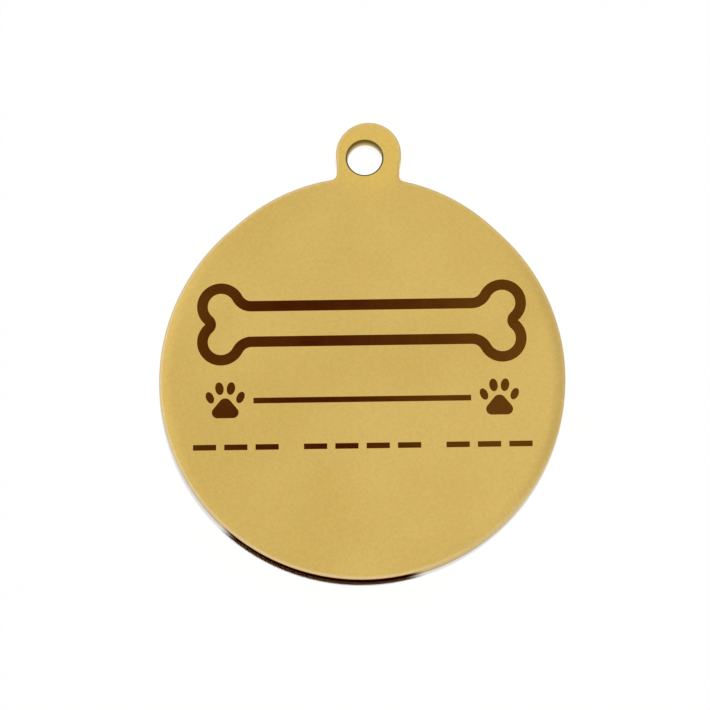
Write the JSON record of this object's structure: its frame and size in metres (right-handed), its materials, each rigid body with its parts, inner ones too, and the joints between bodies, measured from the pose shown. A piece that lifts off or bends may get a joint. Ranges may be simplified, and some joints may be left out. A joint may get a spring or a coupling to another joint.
{
  "type": "pet id tag",
  "caption": "Round polished gold-coloured metal pet tag with a holed ring lug, and dark fill seated in the marks engraved in its face; hangs from a collar ring.",
  "frame": {"origin": "centre of the disc on its flat back face", "axes": "+Z out of the engraved face, +Y from the disc's centre to the ring lug; the tag lies on its back"},
  "size_m": [0.032, 0.0369, 0.0015],
  "materials": {
    "gold_metal": "polished, tumbled edges",
    "dark_fill": "dark brown, satin"
  },
  "bodies": {
    "root": {"tag_blank": "gold_metal", "bone_fill": "dark_fill", "left_paw_fill": "dark_fill", "right_paw_fill": "dark_fill", "name_rule_fill": "dark_fill", "number_dash_fill": "dark_fill"}
  },
  "joints": []
}
